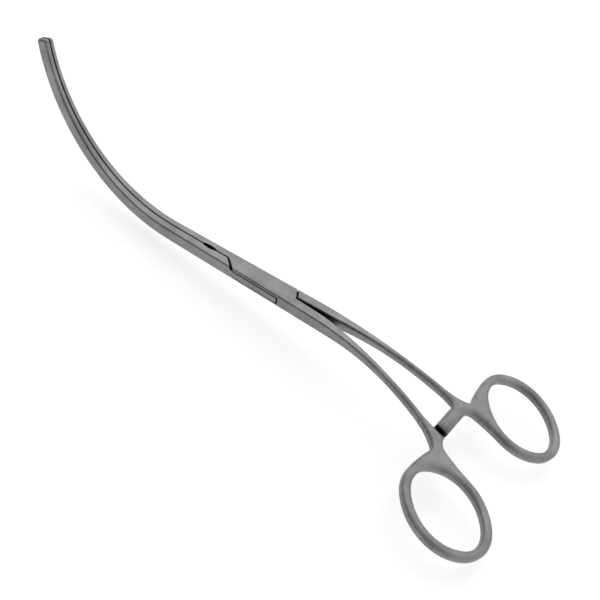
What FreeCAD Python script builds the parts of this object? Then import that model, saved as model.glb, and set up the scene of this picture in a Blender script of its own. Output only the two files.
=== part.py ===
import FreeCAD, Part
import Sketcher
import math
import os
import re
from FreeCAD import Placement, Rotation, Vector

# A ratcheted vascular clamp with a box lock, about 22 cm long, in millimetres.
# It is drawn first in the frame of its box lock: the pivot at the origin, X along
# the box from the jaws to the finger rings, Y the way the clamp opens and Z square
# to the flat face of the box. At the end it is laid down as it rests on a table.

SIZES = {
    # box lock
    "box_thickness": 4.55,       # over both cheeks
    "tongue_thickness": 2.1,     # the inner arm where it runs through the slot
    "tongue_lap": 3.0,           # how far it runs on inside its own jaw and shank
    "slot_gap": 0.2,             # running gap between the tongue and each cheek
    "seam_gap": 0.3,             # between the two arms along the middle line
    "step_gap": 0.45,            # between a cheek's slanted edge and the shoulder it faces
    "jaw_step_top": 14.95,       # slanted cheek edge on the jaw side, at the middle line
    "jaw_step_side": 10.2,       # the same edge where it meets the side of the box
    "jaw_step_bow": 30.0,        # radius of that edge
    "notch_middle": 14.3,        # slanted cheek edge on the shank side, at the middle line
    "notch_side": 11.7,          # the same edge where it meets the side of the box
    "slot_reach": 9.9,           # radius about the pivot of the slot's end by the shank
    "slot_depth": 13.6,          # radius about the pivot of the slot's end by the jaw
    "slot_end_gap": 0.4,
    "pin_radius": 1.6,
    "pin_clearance": 0.05,
    # jaws
    "jaw_straight": 40.3,        # pivot to where the jaws start to curve
    "jaw_radius": 63.3,          # inner curve of the jaws
    "jaw_sweep": 75.0,           # degrees
    "tip_half_width": 2.0,       # one closed jaw at its tip
    "tip_round": 1.2,            # outer corners of the tip
    "almond_near": 19.9,         # the opening between the jaw roots, from the pivot
    "almond_far": 26.8,
    "almond_bow": 8.0,           # radius of its two sides
    # tooth rows on the jaw faces
    "row_width": 0.7,
    "rib_width": 0.8,
    "channel_width": 1.5,
    "rib_height": 0.5,
    "channel_depth": 0.7,
    "tooth_pitch": 1.5,
    "tooth_mouth": 1.1,          # of each V cut
    "tooth_depth": 0.3,
    "row_start": 29.0,           # root end of the rows, from the pivot
    "row_rest": 1.5,             # degrees of plain jaw beyond the rows
    # shanks
    "bend_start": 21.85,         # pivot to where the shanks start to bend back
    "flare_start": 26.5,         # pivot to where they start to spread
    "root_half_width": 4.5,      # box lock and shanks there, from the middle line
    "shank_radius": 127.4,       # of the bend, on the front
    "ring_drop": 22.9,           # degrees that the bend turns
    "shank_flare": 281.0,        # radius of a shank's outer edge, seen from the front
    "shank_thickness": 3.0,
    "thin_angle": 16.0,          # degrees of the bend where the shank is down to that
    "crotch_start": 23.0,        # where the shanks part
    "crotch_half": 0.55,
    "crotch_end": 32.0,
    "crotch_wide": 1.37,
    "crotch_bow": 99.6,
    "shank_inner_end": 6.8,      # inner edge of a shank at the end of the bend
    # ratchet
    "bar_near": 19.3,            # edges of the ratchet bars, ahead of the ring centres
    "bar_far": 14.6,
    "root_bend": 2.1,            # radius between a bar and its shank
    "bar_end": 5.0,              # how far a bar passes the middle line
    "bar_gap": 0.3,              # between the tips of the facing teeth
    "bar_lap": 1.0,              # how far a bar runs on inside its own shank
    "ratchet_lead": 0.3,         # plain end of a bar before its first tooth
    "ratchet_rest": 2.6,         # plain root of a bar beyond its last tooth
    "ratchet_pitch": 1.5,
    "ratchet_depth": 0.45,
    "ratchet_flat": 0.375,       # crest of each tooth
    # finger rings, each one plate with its shank's end
    "ring_ahead": 24.1,          # ring centres beyond the end of the bend
    "ring_offset": 26.0,         # ring centres from the middle line
    "ring_half_length": 17.1,    # outside
    "ring_half_width": 14.45,
    "ring_end_radius": 12.15,
    "ring_width": 3.1,           # of the ring's band
    "bar_corner": 3.7,           # radius between a bar and the plate beyond it
    "plate_corner": 13.0,        # the corner between shank and ring, from the middle line
    "plate_corner_round": 1.8,
    "plate_bow": 48.0,           # radius of the plate's edge from there to the ring
    # broken edges
    "edge_round": 0.8,
    "cut_over": 1.0,             # how far a cutting tool stands out of what it cuts
}

doc = FreeCAD.newDocument("vascular_clamp")
sheet = doc.addObject("Spreadsheet::Sheet", "Sizes")
for row, (alias, value) in enumerate(SIZES.items(), start=1):
    sheet.set("A%d" % row, alias)
    sheet.set("B%d" % row, repr(value))
    sheet.setAlias("B%d" % row, alias)
doc.recompute()


def formula(text):
    """Every size in a formula is read from the sheet."""
    return re.sub(r"\b([a-z]+(?:_[a-z]+)+)\b", r"Sizes.\1", str(text))


def number(text):
    return float(sheet.evalExpression(formula(text)))


def bind(thing, prop, text):
    thing.setExpression(prop, formula(text))


def outline(name, corners, side=1, closed=True):
    """A sketch through the corners, each (x, y) or (x, y, radius, turn) where the
    edge that leaves it is an arc: turn is 1 to the left and -1 to the right.
    With side = -1 the sketch is mirrored in the middle line."""
    sketch = doc.addObject("Sketcher::SketchObject", name)
    places = [Vector(number(c[0]), side * number(c[1]), 0) for c in corners]
    last = len(corners) if closed else len(corners) - 1
    starts = []
    for i in range(last):
        a, b = places[i], places[(i + 1) % len(places)]
        if len(corners[i]) == 2:
            sketch.addGeometry(Part.LineSegment(a, b), False)
            starts.append((1, 2))
            continue
        radius, turn = number(corners[i][2]), corners[i][3] * side
        along = b - a
        rise = math.sqrt(radius ** 2 - along.Length ** 2 / 4)
        left = Vector(-along.y, along.x, 0).normalize()
        centre = (a + b) * 0.5 + left * rise * turn
        first, second = (a, b) if turn > 0 else (b, a)
        angles = [math.atan2(p.y - centre.y, p.x - centre.x) for p in (first, second)]
        if angles[1] < angles[0]:
            angles[1] += 2 * math.pi
        circle = Part.Circle(centre, Vector(0, 0, 1), radius)
        sketch.addGeometry(Part.ArcOfCircle(circle, angles[0], angles[1]), False)
        starts.append((1, 2) if turn > 0 else (2, 1))
    for i in range(last):
        if closed or i + 1 < last:
            j = (i + 1) % last
            sketch.addConstraint(Sketcher.Constraint("Coincident", i, starts[i][1], j, starts[j][0]))
    pins = [(i, starts[i][0], i) for i in range(last)]
    if not closed:
        pins.append((last - 1, starts[-1][1], last))
    for geometry, point, i in pins:
        for kind, value, text in (
            ("DistanceX", places[i].x, corners[i][0]),
            ("DistanceY", places[i].y, "%d * (%s)" % (side, corners[i][1])),
        ):
            index = sketch.addConstraint(Sketcher.Constraint(kind, -1, 1, geometry, point, value))
            bind(sketch, "Constraints[%d]" % index, text)
    for i in range(last):
        if len(corners[i]) > 2:
            index = sketch.addConstraint(Sketcher.Constraint("Radius", i, number(corners[i][2])))
            bind(sketch, "Constraints[%d]" % index, corners[i][2])
    return sketch


def extrusion(name, sketch, forward, back):
    """The sketch made solid along its own normal, this far forward and back."""
    solid = doc.addObject("Part::Extrusion", name)
    solid.Base = sketch
    solid.DirMode = "Normal"
    solid.Solid = True
    bind(solid, "LengthFwd", forward)
    bind(solid, "LengthRev", back)
    return solid


def boolean(kind, name, base, tool):
    result = doc.addObject("Part::" + kind, name)
    result.Base = base
    result.Tool = tool
    return result


def fusion(name, pieces):
    result = doc.addObject("Part::MultiFuse", name)
    result.Shapes = pieces
    result.Refine = True
    return result


def rounded(name, base, chosen, radius):
    """The base with the edges that chosen() accepts rounded."""
    doc.recompute()
    result = doc.addObject("Part::Fillet", name)
    result.Base = base
    picks = [i for i, edge in enumerate(base.Shape.Edges, start=1) if chosen(edge)]
    result.Edges = [(i, number(radius), number(radius)) for i in picks]
    return result


# Where things are along the arms, as formulas of the sizes.
FRONT = "box_thickness / 2"
TIP = "jaw_straight + jaw_radius * sin(jaw_sweep)"
FAR = "jaw_straight + jaw_radius + box_thickness"
BEND_END = "bend_start + shank_radius * sin(ring_drop)"
BEND_FRONT = "box_thickness / 2 - shank_radius * (1 - cos(ring_drop))"
WIDENING = "(root_half_width - tip_half_width) / (flare_start + %s)" % TIP
FLARE = "(%s - flare_start)" % BEND_END
SHANK_OUTER_END = "(root_half_width + (%s) * %s + %s ^ 2 / (2 * shank_flare))" % (WIDENING, FLARE, FLARE)


def half_width(x):
    """Half the width of the closed clamp from its tip to the shanks' bend, a
    straight taper seen from the front."""
    return "root_half_width - (%s) * (flare_start - (%s))" % (WIDENING, x)


def side_band(name):
    """The shape that both arms share, seen from the side: jaws that curve up, the
    straight box, shanks that bend back. The underside runs on straight below the
    start of the bend, then meets the bend in one arc, which thins the shanks."""
    inner = "(shank_radius - shank_thickness)"
    outer = "(jaw_radius + box_thickness)"
    thin_x = "(bend_start + %s * sin(thin_angle))" % inner
    thin_z = "(%s - shank_radius + %s * cos(thin_angle))" % (FRONT, inner)
    under = "((-box_thickness / 2 - %s) / (1 - cos(thin_angle)))" % thin_z
    sketch = outline(name, [
        ("-(%s)" % TIP, FRONT + " + jaw_radius * (1 - cos(jaw_sweep))", "jaw_radius", 1),
        ("-jaw_straight", FRONT),
        ("bend_start", FRONT, "shank_radius", -1),
        (BEND_END, BEND_FRONT),
        (BEND_END + " - shank_thickness * sin(ring_drop)",
         BEND_FRONT + " - shank_thickness * cos(ring_drop)", inner, 1),
        (thin_x, thin_z, under, 1),
        ("%s - %s * sin(thin_angle)" % (thin_x, under), "-box_thickness / 2"),
        ("-jaw_straight", "-box_thickness / 2", outer, -1),
        ("-jaw_straight - %s * sin(jaw_sweep)" % outer,
         FRONT + " + jaw_radius - %s * cos(jaw_sweep)" % outer),
    ])
    sketch.Placement = Placement(Vector(0, 0, 0), Rotation(Vector(1, 0, 0), 90))
    return sketch


SEAM = "seam_gap / 2"
# A shank seen from the front: its outer edge, then its inner edge coming back.
SHANK_OUT = [
    ("flare_start", "root_half_width", "shank_flare", 1),
    (BEND_END, SHANK_OUTER_END),
]
SHANK_IN = [
    (BEND_END, "shank_inner_end"),
    ("crotch_end", "crotch_wide", "crotch_bow", -1),
    ("crotch_start", "crotch_half"),
]


def mirrored_corners(corners):
    """The same corners on the other side of the middle line."""
    flipped = []
    for c in corners:
        flipped.append((c[0], "-(%s)" % c[1]) + ((c[2], -c[3]) if len(c) > 2 else ()))
    return flipped


def box_arm_outline():
    """The outer arm from the front: one jaw, the whole box, and the shank on the
    other side."""
    corners = [
        ("-(%s)" % FAR, SEAM),
        ("-almond_far", SEAM, "almond_bow", -1),
        ("-almond_near", SEAM),
        ("-jaw_step_top", SEAM, "jaw_step_bow", -1),
        ("-jaw_step_side", "-(%s)" % half_width("-jaw_step_side")),
    ]
    corners += mirrored_corners(SHANK_OUT) + mirrored_corners(SHANK_IN)
    corners += [
        ("notch_middle", "-" + SEAM),
        ("notch_middle", SEAM),
        ("notch_side", half_width("notch_side")),
        ("-(%s)" % FAR, half_width("-(%s)" % FAR)),
    ]
    return outline("box_arm_outline", corners)


def tongue_jaw_outline():
    """The inner arm's jaw from the front, up to the shoulder that faces the box."""
    return outline("tongue_jaw_outline", [
        ("-(%s)" % FAR, "-" + SEAM),
        ("-(%s)" % FAR, "-(%s)" % half_width("-(%s)" % FAR)),
        ("-jaw_step_side - step_gap", "-(%s)" % half_width("-jaw_step_side - step_gap"),
         "jaw_step_bow", 1),
        ("-jaw_step_top - step_gap", "-" + SEAM),
        ("-almond_near", "-" + SEAM, "almond_bow", -1),
        ("-almond_far", "-" + SEAM),
    ])


def tongue_shank_outline():
    """The inner arm's shank from the front, from the shoulder behind the box."""
    corners = [
        ("notch_middle + step_gap", SEAM),
        ("crotch_start", "crotch_half", "crotch_bow", 1),
        ("crotch_end", "crotch_wide"),
        (BEND_END, "shank_inner_end"),
        (BEND_END, SHANK_OUTER_END, "shank_flare", -1),
        ("flare_start", "root_half_width"),
        ("notch_side + step_gap", half_width("notch_side + step_gap")),
    ]
    return outline("tongue_shank_outline", corners)


def about_pivot(radius, y):
    """The distance along the clamp of the point at y on a circle about the pivot."""
    return "sqrt((%s) ^ 2 - (%s) ^ 2)" % (radius, y)


def tongue_outline():
    """The thin middle of the inner arm. Its two hidden ends are arcs about the
    pivot, so that they keep their gap to the slot's ends as the clamp opens."""
    jaw_lap = "-jaw_step_top - tongue_lap"
    shank_lap = "notch_middle + tongue_lap"
    near = half_width("slot_reach")
    far = half_width("-slot_depth")
    return outline("tongue_outline", [
        (jaw_lap, "-(%s)" % half_width(jaw_lap)),
        (about_pivot("slot_reach", near), "-(%s)" % near, "slot_reach", 1),
        (about_pivot("slot_reach", SEAM), SEAM),
        (shank_lap, SEAM),
        (shank_lap, half_width(shank_lap)),
        ("-" + about_pivot("slot_depth", far), far, "slot_depth", 1),
        ("-" + about_pivot("slot_depth", SEAM), "-" + SEAM),
        (jaw_lap, "-" + SEAM),
    ])


def slot_outline():
    """What the slot takes out of the box: open to the near side towards the jaw
    and to the far side towards the shank."""
    reach = "slot_reach + slot_end_gap"
    depth = "slot_depth + slot_end_gap"
    wide = "root_half_width + cut_over"
    jaw_end = "-jaw_step_top - cut_over"
    shank_end = "notch_middle + cut_over"
    return outline("slot_outline", [
        (jaw_end, "-(%s)" % wide),
        (about_pivot(reach, wide), "-(%s)" % wide, reach, 1),
        (about_pivot(reach, SEAM), "-" + SEAM),
        (shank_end, "-" + SEAM),
        (shank_end, wide),
        ("-" + about_pivot(depth, wide), wide, depth, 1),
        ("-" + about_pivot(depth, SEAM), SEAM),
        (jaw_end, SEAM),
    ])


def on_side(edge, wall, tolerance=0.03):
    """True for a long edge that runs along the wall y = wall(x)."""
    if edge.Length < 1.02 * number("box_thickness"):
        return False
    middle = edge.valueAt((edge.FirstParameter + edge.LastParameter) / 2)
    end = edge.valueAt(edge.FirstParameter)
    if abs(edge.tangentAt((edge.FirstParameter + edge.LastParameter) / 2).y) > 0.9:
        return False
    return all(abs(abs(p.y) - wall(p.x)) < tolerance for p in (middle, end))


def outer_wall(x):
    """Distance of the arms' outer sides from the middle line at x."""
    start = number("flare_start")
    slope = number(WIDENING)
    y = number("root_half_width") + slope * (x - start)
    if x > start:
        a, b = (start, number("root_half_width")), (number(BEND_END), number(SHANK_OUTER_END))
        chord = math.hypot(b[0] - a[0], b[1] - a[1])
        radius = number("shank_flare")
        rise = math.sqrt(radius ** 2 - chord ** 2 / 4)
        cx = (a[0] + b[0]) / 2 - (b[1] - a[1]) / chord * rise
        cy = (a[1] + b[1]) / 2 + (b[0] - a[0]) / chord * rise
        y = cy - math.sqrt(radius ** 2 - (x - cx) ** 2)
    return y


def inner_wall(x):
    """Distance of the shanks' inner edges from the middle line at x."""
    points = [(number("notch_middle"), number(SEAM))]
    points += [(number(c[0]), number(c[1])) for c in reversed(SHANK_IN)]
    for (x0, y0), (x1, y1) in zip(points, points[1:]):
        if x0 <= x <= x1:
            return y0 + (y1 - y0) * (x - x0) / (x1 - x0)
    return -1


def arm_blank(name, plan):
    """What the side band and the outline from the front have in common."""
    reach = "box_thickness + shank_radius + jaw_radius"
    upright = extrusion(name + "_plan", plan, reach, reach)
    profile = extrusion(name + "_side", band, "ring_offset", "ring_offset")
    return boolean("Common", name + "_blank", profile, upright)


def at_tip(edge):
    """True for an edge at the end of a jaw."""
    limit = number("-(%s) + tip_round" % TIP) + 0.05
    return len(edge.Vertexes) == 2 and all(v.Point.x < limit for v in edge.Vertexes)


def on_front_or_back(edge):
    """True for an edge at a jaw's end that lies in its front or its back."""
    centre = Vector(number("-jaw_straight"), 0, number(FRONT + " + jaw_radius"))
    points = [v.Point for v in edge.Vertexes]
    points.append(edge.valueAt((edge.FirstParameter + edge.LastParameter) / 2))
    reaches = [math.hypot(p.x - centre.x, p.z - centre.z) for p in points]
    limits = (number("jaw_radius"), number("jaw_radius + box_thickness"))
    return any(all(abs(r - limit) < 0.02 for r in reaches) for limit in limits)


def with_round_sides(name, blank):
    """The corner of an arm's jaw tip is rounded, then its long outer edges and the
    rim of its tip, then the inner edges of its shank."""
    def tip_corner(edge):
        outside = number("tip_half_width") * 0.8
        return at_tip(edge) and all(abs(v.Point.y) > outside for v in edge.Vertexes)

    def outer_rim(edge):
        return on_side(edge, outer_wall) or at_tip(edge) and on_front_or_back(edge)

    def shank_inside(edge):
        middle = edge.valueAt((edge.FirstParameter + edge.LastParameter) / 2)
        return on_side(edge, inner_wall, 0.08) and middle.x > number("notch_middle") + 1

    result = blank
    if "shank" not in name:
        result = rounded(name + "_tip", result, tip_corner, "tip_round")
    result = rounded(name + "_sides", result, outer_rim, "edge_round")
    if "jaw" not in name:
        result = rounded(name + "_inside", result, shank_inside, "edge_round")
    return result


# The parts of a handle lie in the plane of the finger rings, which slopes back
# from the end of the bend. Its sketches measure from the point between the rings.

RING_X = "(%s) + ring_ahead * cos(ring_drop) - shank_thickness / 2 * sin(ring_drop)" % BEND_END
RING_Z = "(%s) - ring_ahead * sin(ring_drop) - shank_thickness / 2 * cos(ring_drop)" % BEND_FRONT
HALF_PLATE = "shank_thickness / 2"


def in_ring_plane(sketch):
    """Moves a sketch from the XY plane to the ring plane."""
    bind(sketch, "Placement.Base.x", RING_X)
    bind(sketch, "Placement.Base.z", RING_Z)
    turn = Rotation(Vector(0, 1, 0), number("ring_drop"))
    sketch.Placement = Placement(Vector(number(RING_X), 0, number(RING_Z)), turn)
    return sketch


# A ring's oval is four arcs that meet without a corner.
OVAL_SPREAD = "(ring_half_length - ring_end_radius)"
OVAL_FLAT = ("((ring_half_length ^ 2 + ring_half_width ^ 2 - 2 * ring_half_length"
             " * ring_end_radius) / (2 * (ring_half_width - ring_end_radius)))")
OVAL_SPAN = "(%s - ring_end_radius)" % OVAL_FLAT


def oval_meeting(inset):
    """Where an end arc of the oval meets a flat one, this far inside the outside."""
    end = "(ring_end_radius - %s)" % inset
    x = "(%s + %s * %s / %s)" % (OVAL_SPREAD, end, OVAL_SPREAD, OVAL_SPAN)
    y = "(%s * (%s - ring_half_width) / %s)" % (end, OVAL_FLAT, OVAL_SPAN)
    return x, y


def ring_hole_outline(name, side):
    x, y = oval_meeting("ring_width")
    end = "ring_end_radius - ring_width"
    flat = OVAL_FLAT + " - ring_width"
    return in_ring_plane(outline(name, [
        (x, "ring_offset - " + y, end, 1),
        (x, "ring_offset + " + y, flat, 1),
        ("-" + x, "ring_offset + " + y, end, 1),
        ("-" + x, "ring_offset - " + y, flat, 1),
    ], side))


def plate_outline(name, side):
    """A handle from the front: the end of the shank, the outside of the ring and
    the hollow edge that leads from the ratchet bar round to the ring."""
    run = "(bar_far - bar_corner)"
    rise = "(ring_offset - ring_half_width - shank_inner_end)"
    bow = "((%s ^ 2 + %s ^ 2 - bar_corner ^ 2) / (2 * (%s - bar_corner)))" % (run, rise, rise)
    share = "(%s / (%s - bar_corner))" % (bow, bow)
    x, y = oval_meeting("0")
    corner_x = ("(-ring_half_length + plate_bow"
                " - sqrt(plate_bow ^ 2 - (ring_offset - plate_corner) ^ 2))")
    across = "(%s + ring_ahead)" % corner_x
    out = "(plate_corner - %s)" % SHANK_OUTER_END
    slope = "((%s + %s / shank_flare) * cos(ring_drop))" % (WIDENING, FLARE)
    flare = "((%s ^ 2 + %s ^ 2) * sqrt(1 + %s ^ 2) / (2 * (%s - %s * %s)))" % (
        across, out, slope, out, slope, across)
    return in_ring_plane(outline(name, [
        ("-ring_ahead", "shank_inner_end"),
        ("-bar_near - root_bend", "shank_inner_end"),
        ("-bar_far", "shank_inner_end", "bar_corner", -1),
        ("-%s * %s" % (run, share),
         "ring_offset - ring_half_width - %s + (%s - %s) * %s" % (bow, bow, rise, share), bow, -1),
        ("0", "ring_offset - ring_half_width", OVAL_FLAT, 1),
        (x, "ring_offset - " + y, "ring_end_radius", 1),
        (x, "ring_offset + " + y, OVAL_FLAT, 1),
        ("-" + x, "ring_offset + " + y, "ring_end_radius", 1),
        ("-ring_half_length", "ring_offset", "plate_bow", 1),
        (corner_x, "plate_corner", flare, -1),
        ("-ring_ahead", SHANK_OUTER_END),
    ], side))


def bar_plan(name, side):
    """A ratchet bar from the front, with the bend at its root."""
    return in_ring_plane(outline(name, [
        ("-bar_near - root_bend", "shank_inner_end", "root_bend", -1),
        ("-bar_near", "shank_inner_end - root_bend"),
        ("-bar_near", "-bar_end"),
        ("-bar_far", "-bar_end"),
        ("-bar_far", "shank_inner_end + bar_lap"),
        ("-bar_near - root_bend", "shank_inner_end + bar_lap"),
    ], side))


def ratchet_bar(name, side):
    """A toothed bar across to the other shank. The arm on the + side has the front
    bar, with its teeth underneath, and the other arm the rear bar, teeth up."""
    outside = "%d * %s" % (side, HALF_PLATE)
    tips = "%d * bar_gap / 2" % side
    roots = "%d * (bar_gap / 2 + ratchet_depth)" % side
    root = "shank_inner_end + bar_lap"
    count = int(number("(bar_end + shank_inner_end - ratchet_lead - ratchet_rest) / ratchet_pitch"))
    corners = [(root, outside), ("-bar_end", outside)]
    for k in range(count + 1):
        y = "-bar_end + ratchet_lead + %d * ratchet_pitch" % k
        corners.append((y if k else "-bar_end", tips))
        if k < count:
            corners.append((y + " + ratchet_flat", tips))
            corners.append((y + " + ratchet_flat", roots))
    corners.append((root, tips))
    sketch = outline(name + "_profile", corners)
    across = Rotation(Vector(1, 1, 1), 120)
    if side < 0:
        across = Rotation(Vector(0, 0, 1), 180).multiply(across)
    place = in_ring_plane(sketch).Placement
    sketch.Placement = Placement(place.Base, place.Rotation.multiply(across))
    forward, back = ("0", "ring_ahead") if side > 0 else ("ring_ahead", "0")
    toothed = extrusion(name + "_toothed", sketch, forward, back)
    upright = extrusion(name + "_upright", bar_plan(name + "_plan", side), HALF_PLATE, HALF_PLATE)
    return boolean("Common", name, toothed, upright)


def handle(name, side):
    """A finger ring in one plate with the end of its shank, and its ratchet bar. The
    rim is rounded on the front and on the back."""
    slope = Rotation(Vector(0, 1, 0), number("ring_drop"))
    centre = Vector(number(RING_X), 0, number(RING_Z))

    def local(point):
        return slope.inverted().multVec(point - centre)

    def inner_corner(edge):
        """The upright edge between the shank and the ring."""
        ends = [local(v.Point) for v in edge.Vertexes]
        return all(abs(abs(p.y) - number("plate_corner")) < 0.01 and p.x < 0 for p in ends)

    def rim(edge):
        points = [local(v.Point) for v in edge.Vertexes]
        points.append(local(edge.valueAt((edge.FirstParameter + edge.LastParameter) / 2)))
        flat = number(HALF_PLATE)
        level = any(all(abs(p.z - z) < 0.01 for p in points) for z in (flat, -flat))
        return level and any(p.x > number("-ring_ahead") + 0.01 for p in points)

    plate = extrusion(name + "_plate", plate_outline(name + "_outline", side), HALF_PLATE, HALF_PLATE)
    hole = extrusion(name + "_hole", ring_hole_outline(name + "_hole_outline", side),
                     "shank_thickness", "shank_thickness")
    ring = boolean("Cut", name + "_ring", plate, hole)
    cornered = rounded(name + "_cornered", ring, inner_corner, "plate_corner_round")
    whole = fusion(name + "_sharp", [cornered, ratchet_bar(name + "_bar", side)])
    return rounded(name, whole, rim, "edge_round")


def jaw_strip(name, width, y, thickness):
    """A strip along the middle of a jaw's inner face, from its root to near its
    tip, from y on by this thickness."""
    inner = "jaw_radius + box_thickness / 2 - (%s) / 2" % width
    outer = "jaw_radius + box_thickness / 2 + (%s) / 2" % width
    end = "(jaw_sweep - row_rest)"
    sketch = outline(name + "_outline", [
        ("-jaw_straight - (%s) * sin(%s)" % (inner, end),
         FRONT + " + jaw_radius - (%s) * cos(%s)" % (inner, end), inner, 1),
        ("-jaw_straight", "(%s) / 2" % width),
        ("-row_start", "(%s) / 2" % width),
        ("-row_start", "-(%s) / 2" % width),
        ("-jaw_straight", "-(%s) / 2" % width, outer, -1),
        ("-jaw_straight - (%s) * sin(%s)" % (outer, end),
         FRONT + " + jaw_radius - (%s) * cos(%s)" % (outer, end)),
    ])
    sketch.Placement = Placement(Vector(0, number(y), 0), Rotation(Vector(1, 0, 0), 90))
    bind(sketch, "Placement.Base.y", y)
    return extrusion(name, sketch, "0", thickness)


def tooth_rows(name, width, face, depth):
    """Fine V cuts across a jaw's rows, along its straight root and then round its
    curve. The first cut stands where the curve starts."""
    body = doc.addObject("PartDesign::Body", name)
    body.AllowCompound = True
    origin = {f.Role: f for f in body.Origin.OriginFeatures}
    sketch = body.newObject("Sketcher::SketchObject", name + "_cut")
    sketch.AttachmentSupport = [(origin["XY_Plane"], "")]
    sketch.MapMode = "FlatFace"
    corners = [
        ("-jaw_straight - tooth_mouth / 2", face),
        ("-jaw_straight + tooth_mouth / 2", face),
        ("-jaw_straight", "%s + (%s)" % (face, depth)),
    ]
    places = [Vector(number(a), number(b), 0) for a, b in corners]
    for i in range(3):
        sketch.addGeometry(Part.LineSegment(places[i], places[(i + 1) % 3]), False)
    for i in range(3):
        sketch.addConstraint(Sketcher.Constraint("Coincident", i, 2, (i + 1) % 3, 1))
        for kind, value, text in (("DistanceX", places[i].x, corners[i][0]),
                                  ("DistanceY", places[i].y, corners[i][1])):
            index = sketch.addConstraint(Sketcher.Constraint(kind, -1, 1, i, 1, value))
            bind(sketch, "Constraints[%d]" % index, text)
    pad = body.newObject("PartDesign::Pad", name + "_tooth")
    pad.Profile = sketch
    pad.Midplane = True
    bind(pad, "Length", width)
    root = body.newObject("PartDesign::LinearPattern", name + "_root")
    root.Originals = [pad]
    root.Direction = (origin["X_Axis"], [""])
    steps = int(number("(jaw_straight - row_start - tooth_mouth) / tooth_pitch"))
    root.Occurrences = steps + 1
    root.Mode = "Extent"
    bind(root, "Length", "%d * tooth_pitch" % steps)
    axis = body.newObject("PartDesign::Line", name + "_axis")
    bind(axis, "Placement.Base.x", "-jaw_straight")
    bind(axis, "Placement.Base.z", FRONT + " + jaw_radius")
    axis.Placement = Placement(Vector(0, 0, 0), Rotation(Vector(1, 0, 0), -90))
    curve = body.newObject("PartDesign::PolarPattern", name + "_curve")
    curve.Originals = [pad]
    curve.Axis = (axis, [""])
    step = "tooth_pitch / (jaw_radius + box_thickness / 2) * 180 / pi"
    turns = int(number("(jaw_sweep - row_rest - tooth_mouth) / (%s)" % step))
    curve.Occurrences = turns + 1
    curve.Mode = "Extent"
    bind(curve, "Angle", "%d * %s" % (turns, step))
    body.Tip = curve
    return body


band = side_band("side_band")
box_plan = box_arm_outline()
tongue_jaw_plan = tongue_jaw_outline()
tongue_shank_plan = tongue_shank_outline()
tongue_plan = tongue_outline()
slot_plan = slot_outline()
doc.recompute()


def pin_hole(name, radius):
    hole = doc.addObject("Part::Cylinder", name)
    bind(hole, "Radius", radius)
    bind(hole, "Height", "3 * box_thickness")
    bind(hole, "Placement.Base.z", "-1.5 * box_thickness")
    return hole


def box_arm():
    """The outer arm: its two cheeks, one above and one below the slot, carry the
    pivot pin."""
    blank = with_round_sides("box_arm", arm_blank("box_arm", box_plan))
    half = "tongue_thickness / 2 + slot_gap"
    slot = extrusion("slot", slot_plan, half, half)
    slotted = boolean("Cut", "box_arm_slotted", blank, slot)
    bored = boolean("Cut", "box_arm_bored", slotted, pin_hole("cheek_bore", "pin_radius"))
    channel = jaw_strip("channel", "channel_width", SEAM, "channel_depth")
    grooved = boolean("Cut", "box_arm_grooved", bored, channel)
    rows = tooth_rows("box_jaw_teeth", "channel_width + 2 * row_width", SEAM, "tooth_depth")
    toothed = boolean("Cut", "box_arm_toothed", grooved, rows)
    return fusion("box_arm_whole", [toothed, handle("box_handle", -1)])


def tongue_arm():
    """The inner arm: jaw and shank of full thickness, joined by the thin tongue
    that runs through the slot."""
    jaw = with_round_sides("tongue_jaw", arm_blank("tongue_jaw", tongue_jaw_plan))
    shank = with_round_sides("tongue_shank", arm_blank("tongue_shank", tongue_shank_plan))
    middle = extrusion("tongue", tongue_plan, "tongue_thickness / 2", "tongue_thickness / 2")
    start = "-%s - rib_height" % SEAM
    rib = jaw_strip("rib", "rib_width", start, "2 * rib_height")
    teeth = tooth_rows("tongue_jaw_teeth", "rib_width + cut_over", "rib_height - " + SEAM, "-tooth_depth")
    toothed_rib = boolean("Cut", "rib_toothed", rib, teeth)
    arm = fusion("tongue_arm_plain", [jaw, shank, middle, toothed_rib, handle("tongue_handle", 1)])
    bore = pin_hole("tongue_bore", "pin_radius + pin_clearance")
    return boolean("Cut", "tongue_arm_whole", arm, bore)


def pivot_pin():
    """The rivet, riveted over and ground flush with both cheeks."""
    pin = doc.addObject("Part::Cylinder", "pivot_pin")
    bind(pin, "Radius", "pin_radius")
    bind(pin, "Height", "box_thickness")
    bind(pin, "Placement.Base.z", "-box_thickness / 2")
    return pin


def rest_placement():
    """Laid down as it rests on a table: on the belly of its curved jaws and the
    far ends of its finger rings, with the origin below the middle of its box."""
    belly = Vector(number("-jaw_straight"), 0, number(FRONT + " + jaw_radius"))
    belly_radius = number("jaw_radius + box_thickness")
    slope = Rotation(Vector(0, 1, 0), number("ring_drop"))
    far_end = Vector(number(RING_X), 0, number(RING_Z))
    far_end += slope.multVec(Vector(number("ring_half_length - edge_round"), 0,
                                    number("edge_round - shank_thickness / 2")))
    span = far_end - belly
    distance = math.hypot(span.x, span.z)
    lean = math.asin((belly_radius - number("edge_round")) / distance)
    heading = math.atan2(span.z, span.x) + lean
    turn = Rotation(Vector(0, 1, 0), math.degrees(heading))
    down = turn.multVec(far_end).z - number("edge_round")
    return Placement(Vector(0, 0, -down), turn)


pieces = {"box_arm": box_arm(), "tongue_arm": tongue_arm(), "pivot_pin": pivot_pin()}
doc.recompute()
for thing in doc.Objects:
    if "Invalid" in thing.State or "Error" in thing.State:
        raise RuntimeError("%s did not build: %s" % (thing.Name, thing.State))

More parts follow.
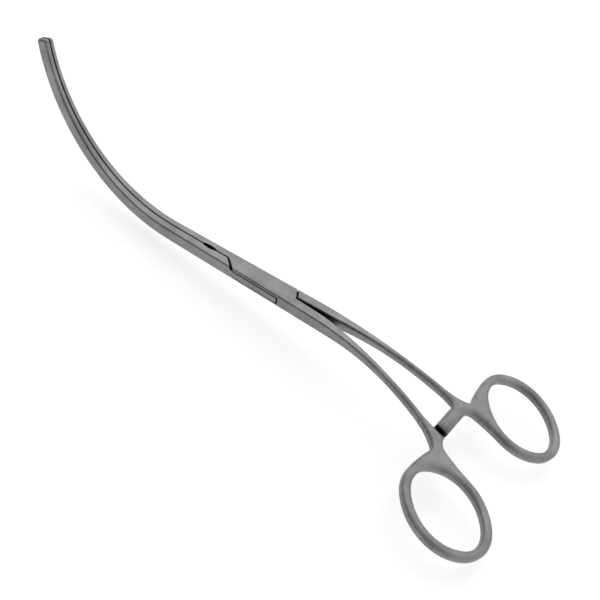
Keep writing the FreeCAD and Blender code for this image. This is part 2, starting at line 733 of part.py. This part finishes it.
# The rest placement, moved so that the origin is the middle of the whole at its foot.
rest = rest_placement()
whole = FreeCAD.BoundBox()
for piece in pieces.values():
    laid = piece.Shape.copy()
    laid.Placement = rest.multiply(laid.Placement)
    whole.add(laid.optimalBoundingBox(False))
rest.Base -= Vector(whole.Center.x, whole.Center.y, whole.ZMin)

os.makedirs("parts", exist_ok=True)
for name, piece in pieces.items():
    piece.Label = name
    piece.setExpression("Placement.Base.z", None)
    piece.Placement = rest.multiply(piece.Placement)
doc.recompute()
for name, piece in pieces.items():
    shape = piece.Shape
    if shape.isNull() or not shape.isValid() or len(shape.Solids) != 1:
        raise RuntimeError("%s is not one valid solid" % name)
    shape.exportStep("parts/%s.step" % name)
    box = shape.optimalBoundingBox(False)
    print("%s: %.1f mm3, x %.2f to %.2f, y %.2f to %.2f, z %.2f to %.2f" % (
        name, shape.Volume, box.XMin, box.XMax, box.YMin, box.YMax, box.ZMin, box.ZMax))
hinge = rest.multVec(Vector(0, 0, 0))
axis = rest.Rotation.multVec(Vector(0, 0, 1))
print("hinge at", tuple(round(v, 4) for v in hinge), "axis", tuple(round(v, 6) for v in axis))
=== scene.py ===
# %% [markdown]
# # A ratcheted vascular clamp
# The real object is a surgical instrument about 22 cm long: two arms of stainless
# steel, forged, ground and given a satin finish, that cross in a box lock. One arm
# is split into two cheeks and the other passes between them as a thin tongue, so
# from the front the crossing looks like one flat bar. The jaws curve up, the
# shanks bend back, and two toothed bars between the finger rings lock it shut.
#
# Every form of it is a solid with named sizes, so the model that is loaded here
# already holds the jaws, the lock, the ratchet and the rings. What is left for
# this lesson is what makes steel look like steel: the camera, a quiet studio for
# the metal to mirror, and the finish of the metal itself.

# %% Load the two arms and the rivet
import bpy
import numpy as np
from mathutils import Matrix, Vector

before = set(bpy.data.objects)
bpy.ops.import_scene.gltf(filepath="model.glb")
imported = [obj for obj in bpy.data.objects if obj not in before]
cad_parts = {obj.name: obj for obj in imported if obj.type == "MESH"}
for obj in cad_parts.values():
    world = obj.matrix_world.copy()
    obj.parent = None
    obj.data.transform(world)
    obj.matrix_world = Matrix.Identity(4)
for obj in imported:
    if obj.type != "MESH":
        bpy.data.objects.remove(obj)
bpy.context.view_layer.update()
scene = bpy.context.scene
for name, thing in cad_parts.items():
    print(name, "has", len(thing.data.polygons), "faces")

# %% [markdown]
# ## The camera
# The photograph is taken from the clamp's near side, above the rings, with the
# camera turned until the clamp lies across the picture's diagonal. A camera can be
# aimed with a Track To constraint, but that can't hold such a turn. So the three
# directions of the camera are written down instead: where its right, its top and
# its back point. They are the columns of a turning matrix, and the place of the
# camera is the fourth column. The lens is 60 mm on a 36 mm sensor, which shows the
# near ring a little larger than the jaws, as the photograph does.

# %% Set the camera
EYE = Vector((0.102125, -0.227536, 0.243599))
RIGHT = Vector((0.771263, 0.573398, 0.276348))
UP = Vector((-0.581348, 0.457764, 0.672671))
BACK = RIGHT.cross(UP)
LENS = 60.0
SENSOR = 36.0

camera_data = bpy.data.cameras.new("camera")
camera_data.lens = LENS
camera_data.sensor_width = SENSOR
camera_data.clip_start = 0.01
camera = bpy.data.objects.new("camera", camera_data)
turn = Matrix((RIGHT, UP, BACK)).transposed()
camera.matrix_world = Matrix.Translation(EYE) @ turn.to_4x4()
scene.collection.objects.link(camera)
scene.camera = camera
print("the camera stands", round(EYE.length, 3), "m from the middle of the clamp")

# %% [markdown]
# ## One helper for every node
# A material and the world are both trees of nodes. One small function is enough to
# build them: it adds a node of any kind, sets what the node has of its own, and
# fills its inputs. Given another node's output it makes a link, given a whole node
# it links that node's first output, and anything else is a plain value.

# %% Add a node with its settings and links
def add(tree, kind, inputs=None, **settings):
    """A new node of this kind. inputs maps an input's name or number to a value,
    to another node's output, or to a node whose first output is meant."""
    node = tree.nodes.new(kind)
    for key, value in settings.items():
        setattr(node, key, value)
    for key, value in (inputs or {}).items():
        if isinstance(value, bpy.types.Node):
            value = value.outputs[0]
        if isinstance(value, bpy.types.NodeSocket):
            tree.links.new(value, node.inputs[key])
        else:
            node.inputs[key].default_value = value
    return node


def linear(code):
    """An sRGB hex colour as linear red, green, blue and alpha: each channel c is
    c / 12.92 where it is dark and ((c + 0.055) / 1.055) ^ 2.4 elsewhere."""
    c = np.array([int(code[i:i + 2], 16) for i in (1, 3, 5)]) / 255
    c = np.where(c <= 0.04045, c / 12.92, ((c + 0.055) / 1.055) ** 2.4)
    return (*c.tolist(), 1.0)


# %% [markdown]
# ## The studio
# Bare metal has hardly any colour of its own: it shows what stands round it. The
# photograph tells what that was. Flat faces that look up and away are a calm mid
# grey, the rounded edges that look at the camera are darker, and the side walls
# that look down mirror the white table. So the room is bright behind the clamp and
# dim on the camera's side. A plain room with one even brightness would make every
# wall of the steel the same grey and lose the form.
#
# The room is the world's own light, worked out from the direction alone: each lobe
# is the cosine of the angle to a chosen direction, kept above zero and raised to
# a power that says how narrow the lobe is. The first stands behind the clamp and
# lights the box, the shanks and the rings. The second stands low past the rings
# for the tips of the jaws. The third is narrow and low behind the clamp, and the
# last one is narrow and overhead: they draw the crests of the rounded edges. The
# fourth is a weak fill from the camera's side.

# %% Light the room
world = bpy.data.worlds.new("studio_room")
scene.world = world
world.use_nodes = True
tree = world.node_tree
tree.nodes.clear()
toward = add(tree, "ShaderNodeTexCoord").outputs["Generated"]


def lobe(direction, power, height):
    """height * max(cosine to the direction, 0) ^ power"""
    aim = Vector(direction).normalized()
    cosine = add(tree, "ShaderNodeVectorMath", {0: toward, 1: aim}, operation="DOT_PRODUCT")
    kept = add(tree, "ShaderNodeMath", {0: cosine.outputs["Value"], 1: 0.0}, operation="MAXIMUM")
    narrow = add(tree, "ShaderNodeMath", {0: kept, 1: power}, operation="POWER")
    return add(tree, "ShaderNodeMath", {0: narrow, 1: height}, operation="MULTIPLY")


ROOM = 0.13              # the even light from all sides, under the lobes
# the direction of each lobe, how narrow it is, and how bright
LOBES = [
    ((-0.45, 0.75, 0.50), 3.0, 1.10),
    ((0.85, 0.50, 0.15), 2.0, 0.90),
    ((0.25, 0.95, 0.10), 12.0, 0.45),
    ((-0.50, -0.63, 0.59), 1.0, 0.20),
    ((0.00, 0.25, 1.00), 10.0, 0.30),
]
light = ROOM
for direction, power, height in LOBES:
    this_lobe = lobe(direction, power, height)
    light = add(tree, "ShaderNodeMath", {0: light, 1: this_lobe}, operation="ADD")
glow = add(tree, "ShaderNodeBackground", {"Color": light, "Strength": 1.0})
add(tree, "ShaderNodeOutputWorld", {"Surface": glow})
print("the room has", len(LOBES), "lobes over an even", ROOM)

# %% [markdown]
# ## The lamp
# One broad soft lamp hangs overhead. A sun lamp with a wide angle is the same at
# every place on the table, so the white stays even, and its shadow under the clamp
# is faint and soft. It is weak, because most of the light comes from the room.

# %% Hang the lamp
LAMP_STRENGTH = 0.38
LAMP_WIDTH = np.radians(40)
LAMP_PLACE = Vector((-0.20, 0.05, 1.0))

lamp_data = bpy.data.lights.new("overhead_softbox", "SUN")
lamp_data.energy = LAMP_STRENGTH
lamp_data.angle = LAMP_WIDTH
lamp = bpy.data.objects.new("overhead_softbox", lamp_data)
lamp.rotation_mode = "QUATERNION"
lamp.rotation_quaternion = LAMP_PLACE.to_track_quat("Z", "Y")
scene.collection.objects.link(lamp)
print("the lamp's angle is", round(float(np.degrees(LAMP_WIDTH))), "degrees")

# %% [markdown]
# ## The table
# A plain white table, matt enough that it mirrors nothing. It is one flat square,
# far larger than a real one, so that this camera doesn't see its edge.
#
# The pivot leans a little, so the inner arm's ring swings down as the clamp opens,
# to 5.3 mm below the plane that the closed clamp lies on. A real clamp tips over to
# make room. Here one arm stays put, so the table is laid 6 mm lower, and the ring
# stays clear of it.
#
# Under lamps that are right for the steel a white table turns out grey. More light
# would make it white but would bleach the steel too. So the table glows a little,
# and only for rays that come from the camera or by way of a mirror or of glass:
# the picture and the steel's reflections show full white, the glow lights nothing,
# and the table's own shading below it keeps the faint shadow of the clamp.

# %% Lay the table
MM = 0.001


def sheet_of_points(name, half, height, count):
    """A flat square grid: x = half * u and y = half * v for u, v from -1 to 1."""
    u, v = np.meshgrid(np.linspace(-1, 1, count), np.linspace(-1, 1, count), indexing="ij")
    points = np.stack([half * u, half * v, 0 * u + height], axis=-1).reshape(-1, 3)
    corner = np.arange(count * count).reshape(count, count)
    round_each = [corner[:-1, :-1], corner[1:, :-1], corner[1:, 1:], corner[:-1, 1:]]
    faces = np.stack(round_each, axis=-1).reshape(-1, 4)
    mesh = bpy.data.meshes.new(name)
    mesh.from_pydata(points.tolist(), [], faces.tolist())
    thing = bpy.data.objects.new(name, mesh)
    scene.collection.objects.link(thing)
    return thing


TABLE_HALF = 4000 * MM
DROP = 6 * MM
table = sheet_of_points("table", TABLE_HALF, -DROP, 5)
print("the table is", 2 * TABLE_HALF, "m wide and", DROP / MM, "mm below the clamp")

# %% Make the laminate
LIFT = 0.57              # the table's own shading makes up the rest of full white
white = bpy.data.materials.new("matt_white_laminate")
white.use_nodes = True
tree = white.node_tree
shader = tree.nodes["Principled BSDF"]
shader.inputs["Base Color"].default_value = linear("#D2D2D2")
shader.inputs["Roughness"].default_value = 0.9
shader.inputs["Specular IOR Level"].default_value = 0.1
shader.inputs["Emission Color"].default_value = linear("#FFFFFF")
ray = add(tree, "ShaderNodeLightPath")
seen = ray.outputs["Is Camera Ray"]
for kind in ("Is Glossy Ray", "Is Transmission Ray"):
    seen = add(tree, "ShaderNodeMath", {0: seen, 1: ray.outputs[kind]}, operation="MAXIMUM")
lift = add(tree, "ShaderNodeMath", {0: seen, 1: LIFT}, operation="MULTIPLY")
tree.links.new(lift.outputs[0], shader.inputs["Emission Strength"])
table.data.materials.append(white)
print(white.name, "has", len(tree.nodes), "nodes")

# %% [markdown]
# ## Broad faces and side walls
# The arms are blasted with fine glass beads so that they don't dazzle under a
# theatre lamp. The broad faces are then ground on a belt and come out smoother. The
# side walls keep the blasted skin, so they show more of the grain, and their grey is
# darkened a little: that darkening is painted shade.
#
# The two could be told apart by painting the mesh. It is simpler to ask each face
# which way it looks, in the piece's own coordinates: a face that looks across the
# clamp, along y, is a side wall. In between, the one passes softly into the other.

# %% Tell side walls from broad faces
WALL_BEGINS = 0.45
WALL_FULL = 0.80


def sideways(tree, where):
    """How far a face looks across the clamp, from 0 to 1."""
    facing = add(tree, "ShaderNodeSeparateXYZ", {"Vector": where.outputs["Normal"]})
    return add(tree, "ShaderNodeMath", {0: facing.outputs["Y"]}, operation="ABSOLUTE")


def side_wall(tree, where):
    """0 on a broad face and 1 on a side wall"""
    return add(tree, "ShaderNodeMapRange", {
        "Value": sideways(tree, where), "From Min": WALL_BEGINS, "From Max": WALL_FULL})


widest = round(float(np.degrees(np.arccos(WALL_FULL))))
print("a face up to", widest, "degrees off the y axis is a side wall")

# %% [markdown]
# ## The lines where the arms meet
# Polishing dust and shade make every joint of a real clamp black to its very edges.
# The gaps in the solids are a few tenths of a millimetre wide, which is less than a
# pixel of the picture, so the gaps' shade is painted dark onto the edges beside them
# as well: painted shade, together with the dust. They could be painted on the mesh by
# hand, but strips with sizes stay where the solids have their gaps: the seam on the
# outside of the jaws, the slot's line on the near side and its end, and the slanted
# edges of the cheeks on the jaws' side and on the shanks' side.
#
# The strips are laid out in the lock's own directions: along it, across it and up
# its pivot, all from the hinge and in millimetres. Each strip is a list of pairs of
# limits, and each pair has the direction that it is measured in.

# %% Lay out the seam and the slot
HINGE = (0.0822 * MM, 0.0, 9.3091 * MM)
LOCK_ALONG = (0.98793, 0.0, 0.154903)
LOCK_AXIS = (-0.154903, 0.0, 0.98793)
ALONG = (1.0, 0.0, 0.0)
ACROSS = (0.0, 1.0, 0.0)
UPWARD = (0.0, 0.0, 1.0)

# every size in this cell and in the next is in millimetres
FAR = 6.0                # past every side of the box
LINE_HALF = 0.22         # half the width of a dark line
JAWS_FROM = -120.0       # past the tips
JAWS_TO = -15.1          # just short of the cheek's slanted edge
SLOT_LOW = 1.0           # the upper gap of the slot, from the middle of the tongue
SLOT_HIGH = 1.3
SLOT_FROM = -10.2        # where the cheek ends at its side
SLOT_END = 9.15
SLOT_TO = 9.2            # the line reaches a little into the slot's end
SLOT_HALF = 1.25
NEAR_WALL = -3.4         # the near side wall of the box lies past this

# The strips mark where the gaps' shade is painted, together with the polishing dust.
near = (ACROSS, -FAR, NEAR_WALL)
seam = [(ALONG, JAWS_FROM, JAWS_TO), (ACROSS, -LINE_HALF, LINE_HALF)]
slot_line = [(UPWARD, SLOT_LOW, SLOT_HIGH), (ALONG, SLOT_FROM, SLOT_TO), near]
slot_end = [
    (ALONG, SLOT_END - LINE_HALF, SLOT_END + LINE_HALF),
    (UPWARD, -SLOT_HALF, SLOT_HALF), near]
print("the slot's line is", round(SLOT_TO - SLOT_FROM, 1), "mm long")

# %% Lay out the slanted edges
EDGE_HALF = 0.28         # half the width of the dark line along a slanted edge
BOX_HALF = 4.3           # from the middle line to the side of the box
STEP_GAP = 0.45          # between a cheek's slanted edge and the shoulder it faces
JAW_SIDE = (-14.95, -10.2)   # where the cheek ends, at the middle line and at the side
SHANK_SIDE = (14.3, 11.7)


def beside_edge(middle, side, box_side):
    """The pair of limits of a strip along a slanted edge, which runs from the
    middle line to one side of the box. The pair is measured square to the edge:
    the edge's own place in that direction, less and plus half the line's width."""
    run = Vector((side - middle, box_side, 0.0)).normalized()
    square = Vector((-run.y, run.x, 0.0))
    place = square.x * middle
    return (tuple(square), place - EDGE_HALF, place + EDGE_HALF)


jaw_step = [
    beside_edge(JAW_SIDE[0] - STEP_GAP / 2, JAW_SIDE[1] - STEP_GAP / 2, -BOX_HALF),
    (ACROSS, -FAR, 0.0), (UPWARD, SLOT_HIGH, FAR)]
shank_step = [
    beside_edge(SHANK_SIDE[0] + STEP_GAP / 2, SHANK_SIDE[1] + STEP_GAP / 2, BOX_HALF),
    (ACROSS, 0.0, FAR)]
print("a slanted edge's line is", 2 * EDGE_HALF, "mm wide")

# %% [markdown]
# How far a place lies outside a strip is the most by which it passes any of the
# strip's pairs of limits. The least of that over all strips says how near the next
# joint is, and over the last fifth of a millimetre the dark fades out.
#
# The seam has one more limit. The jaws' inner faces lie on both sides of the seam.
# They show when the clamp is open, and they aren't dark on the real clamp. They
# look across the clamp, so the seam's strip ends where a face looks too far
# sideways.

# %% Find how near the next joint is
FADE = 0.20
MOST_SIDEWAYS = 0.4


def outside(tree, lock, strip):
    """The most by which a place passes any pair of limits of this strip, in mm.
    For one pair that is |reach - middle| - half the width between them."""
    most = -FAR
    for direction, low, high in strip:
        reach = add(tree, "ShaderNodeVectorMath", {0: lock, 1: direction}, operation="DOT_PRODUCT")
        away = add(tree, "ShaderNodeMath", {
            0: reach.outputs["Value"], 1: (low + high) / 2}, operation="SUBTRACT")
        away = add(tree, "ShaderNodeMath", {0: away}, operation="ABSOLUTE")
        past = add(tree, "ShaderNodeMath", {0: away, 1: (high - low) / 2}, operation="SUBTRACT")
        most = add(tree, "ShaderNodeMath", {0: most, 1: past}, operation="MAXIMUM")
    return most


def in_the_lock(tree, where):
    """The place in millimetres from the hinge, in the lock's own directions"""
    metres = add(tree, "ShaderNodeVectorMath", {
        0: where.outputs["Object"], 1: HINGE}, operation="SUBTRACT")
    place = add(tree, "ShaderNodeVectorMath", {0: metres, "Scale": 1 / MM}, operation="SCALE")
    reach = {}
    for letter, direction in (("X", LOCK_ALONG), ("Y", ACROSS), ("Z", LOCK_AXIS)):
        along = add(tree, "ShaderNodeVectorMath", {0: place, 1: direction}, operation="DOT_PRODUCT")
        reach[letter] = along.outputs["Value"]
    return add(tree, "ShaderNodeCombineXYZ", reach)


def clear_of_joints(tree, where):
    """1 on open metal and 0 beside the lines where the two arms meet, where the gaps' shade is
    painted
    """
    lock = in_the_lock(tree, where)
    inner_face = add(tree, "ShaderNodeMath", {
        0: sideways(tree, where), 1: MOST_SIDEWAYS}, operation="SUBTRACT")
    nearest = add(tree, "ShaderNodeMath", {
        0: outside(tree, lock, seam), 1: inner_face}, operation="MAXIMUM")
    for strip in (slot_line, slot_end, jaw_step, shank_step):
        nearest = add(tree, "ShaderNodeMath", {
            0: nearest, 1: outside(tree, lock, strip)}, operation="MINIMUM")
    return add(tree, "ShaderNodeMapRange", {"Value": nearest, "From Max": FADE})


print("the strips fade over", FADE, "mm")

# %% [markdown]
# ## Rounded edges and painted shade in the hollows
# The edges of the box are ground sharp, while the jaws and above all the rings are
# rounded off by hand. The solids have rounded rims, and a Bevel node bends the
# light farther round them: not at all at the lock, and most at the rings.
#
# Other narrow places get painted shade too, a dark grey where the steel stands close round them.
# Ambient occlusion finds them: it is 1 in the open and falls towards 0 where other
# steel stands close by.

# %% Round the edges and find the hollows
LOCK_TO_RINGS = (20 * MM, 75 * MM)
LOCK_TO_JAWS = (-14 * MM, -40 * MM)
RING_ROUND = 4.0 * MM
JAW_ROUND = 0.7 * MM
HOLLOW = 2.6 * MM        # how far the occlusion looks for other steel
HOLLOW_POWER = 3.0       # deepens the shade where the steel is near


def rounded(tree, where):
    """The direction of the surface with its edges rounded off: by nothing at the
    lock, and by more towards the rings and towards the tips."""
    place = add(tree, "ShaderNodeSeparateXYZ", {"Vector": where.outputs["Object"]})
    radius = 0.0
    for (start, end), full in ((LOCK_TO_RINGS, RING_ROUND), (LOCK_TO_JAWS, JAW_ROUND)):
        part = add(tree, "ShaderNodeMapRange", {
            "Value": place.outputs["X"], "From Min": start, "From Max": end, "To Max": full})
        radius = add(tree, "ShaderNodeMath", {0: radius, 1: part}, operation="MAXIMUM")
    return add(tree, "ShaderNodeBevel", {"Radius": radius}, samples=8)


def open_metal(tree, where):
    """1 on open metal, and 0 in a hollow or beside a joint, where the shade is painted"""
    air = add(tree, "ShaderNodeAmbientOcclusion", {"Distance": HOLLOW}, samples=8)
    airy = add(tree, "ShaderNodeMath", {
        0: air.outputs["AO"], 1: HOLLOW_POWER}, operation="POWER")
    return add(tree, "ShaderNodeMath", {
        0: airy, 1: clear_of_joints(tree, where)}, operation="MULTIPLY")


print("the rings' edges are rounded by", RING_ROUND / MM, "mm")

# %% [markdown]
# ## Satin stainless steel
# The arms are martensitic stainless steel. The beads leave shallow dents about a
# tenth of a millimetre apart, which spread each reflection and give the steel its
# fine, almost colourless grain. Handling and cleaning leave faint cloudy patches
# and hair scratches along the arms.
#
# It could be one roughness value, but that looks like plastic paint. Three noise
# patterns are used instead, each with its size in millimetres: the bead dents, the
# cloudy patches and the long scratches. Dents and patches together choose a grey
# between a light and a dark one, the patches alone make the roughness vary, and
# dents and scratches are bumps.

# %% Choose the greys of the steel
LIGHT_GREY = "#9F9F9E"
DARK_GREY = "#747475"
# painted shade: the grey of the hollows and of the edges beside the joints
PAINTED_SHADE_GREY = "#101010"
# painted shade: a side wall's grey is darkened to this share
WALL_PAINTED_SHADE = 0.88
CLOUD_SHARE = (0.74, 0.45)   # of clouds over grain, on a broad face and on a wall
GREY_CUT = 0.20          # a broad face leaves out this much at each end of the greys
MOST_NOISE = (0.36, 0.64)    # nearly all of the mixed noise lies between these


def steel_colour(tree, where, grain, clouds):
    """A grey between the dark and the light one by grain and clouds, calmer on the
    broad faces, with painted shade where the metal isn't open, and darkened on the
    side walls as painted shade."""
    wall = side_wall(tree, where)
    calm = add(tree, "ShaderNodeMapRange", {
        "Value": wall, "To Min": CLOUD_SHARE[0], "To Max": CLOUD_SHARE[1]})
    mixed = add(tree, "ShaderNodeMix", {0: calm, 2: grain, 3: clouds}, data_type="FLOAT")
    low = add(tree, "ShaderNodeMapRange", {"Value": wall, "To Min": GREY_CUT, "To Max": 0.0})
    high = add(tree, "ShaderNodeMath", {0: 1.0, 1: low}, operation="SUBTRACT")
    spread = add(tree, "ShaderNodeMapRange", {
        "Value": mixed, "From Min": MOST_NOISE[0], "From Max": MOST_NOISE[1],
        "To Min": low, "To Max": high})
    grey = add(tree, "ShaderNodeMix", {
        0: spread, 6: linear(DARK_GREY), 7: linear(LIGHT_GREY)}, data_type="RGBA").outputs[2]
    # painted shade in the hollows and beside the joints
    shaded = add(tree, "ShaderNodeMix", {
        0: open_metal(tree, where), 6: linear(PAINTED_SHADE_GREY), 7: grey}, data_type="RGBA").outputs[2]
    # painted shade: the side walls are darkened
    wall_shade = add(tree, "ShaderNodeMapRange", {
        "Value": wall, "To Min": 1.0, "To Max": WALL_PAINTED_SHADE})
    return add(tree, "ShaderNodeVectorMath", {0: shaded, "Scale": wall_shade}, operation="SCALE")


print("the greys run from", DARK_GREY, "to", LIGHT_GREY)

# %% Make the steel
BEAD = 0.45 * MM         # drawn coarser than the real dents, so that they show
CLOUD = 9.0 * MM
MOST_CLOUDS = (0.3, 0.7)     # nearly all of the clouds' noise lies between these
SCRATCH = 0.16 * MM      # drawn coarser than real hair scratches, for the same reason
LENGTHWISE = (0.03, 1.0, 1.0)    # draws the scratches out along the clamp
ROUGH_LEAST = 0.32
ROUGH_MOST = 0.41
DENT_DEPTH = 0.012 * MM
DENT_STRENGTH = 0.35
SCRATCH_DEPTH = 0.004 * MM
SCRATCH_STRENGTH = 0.20


def satin_steel(name):
    """Blasted steel: its colour, its roughness and its small bumps"""
    material = bpy.data.materials.new(name)
    material.use_nodes = True
    tree = material.node_tree
    where = add(tree, "ShaderNodeTexCoord")
    place = where.outputs["Object"]
    grain = add(tree, "ShaderNodeTexNoise", {
        "Vector": place, "Scale": 1 / BEAD, "Detail": 2.0, "Roughness": 0.55}).outputs["Fac"]
    clouds = add(tree, "ShaderNodeTexNoise", {
        "Vector": place, "Scale": 1 / CLOUD, "Detail": 3.0, "Roughness": 0.6}).outputs["Fac"]
    along = add(tree, "ShaderNodeMapping", {"Vector": place, "Scale": LENGTHWISE})
    hairs = add(tree, "ShaderNodeTexNoise", {
        "Vector": along, "Scale": 1 / SCRATCH, "Detail": 1.0}).outputs["Fac"]
    haze = add(tree, "ShaderNodeMapRange", {
        "Value": clouds, "From Min": MOST_CLOUDS[0], "From Max": MOST_CLOUDS[1],
        "To Min": ROUGH_LEAST, "To Max": ROUGH_MOST})
    dents = add(tree, "ShaderNodeBump", {
        "Height": grain, "Strength": DENT_STRENGTH, "Distance": DENT_DEPTH,
        "Normal": rounded(tree, where)})
    scored = add(tree, "ShaderNodeBump", {
        "Height": hairs, "Strength": SCRATCH_STRENGTH, "Distance": SCRATCH_DEPTH,
        "Normal": dents})
    colour = steel_colour(tree, where, grain, clouds)
    shader = tree.nodes["Principled BSDF"]
    shader.inputs["Metallic"].default_value = 1.0
    tree.links.new(colour.outputs[0], shader.inputs["Base Color"])
    tree.links.new(haze.outputs[0], shader.inputs["Roughness"])
    tree.links.new(scored.outputs[0], shader.inputs["Normal"])
    print(name, "has", len(tree.nodes), "nodes")
    return material


arm_steel = satin_steel("satin_stainless_steel")
rivet_steel = satin_steel("ground_rivet_steel")

# %% [markdown]
# ## Give each piece its finish
# The arms share one finish, because they are finished together after the rivet is
# set. The rivet's ends are ground flush with the cheeks and finished with them, so
# they look the same. The rivet still has a material of its own, because it is a
# separate pin, and a maker who wants to show it can change it alone.

# %% Dress the arms and the rivet
FINISH = {"box_arm": arm_steel, "tongue_arm": arm_steel, "pivot_pin": rivet_steel}
for name, material in FINISH.items():
    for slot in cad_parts[name].material_slots:
        slot.material = material
    print(name, "is", material.name)

# %% [markdown]
# ## Finish
# The colours are shown as they are, without a film look.

# %% Show the colours as they are
scene.view_settings.view_transform = "Standard"
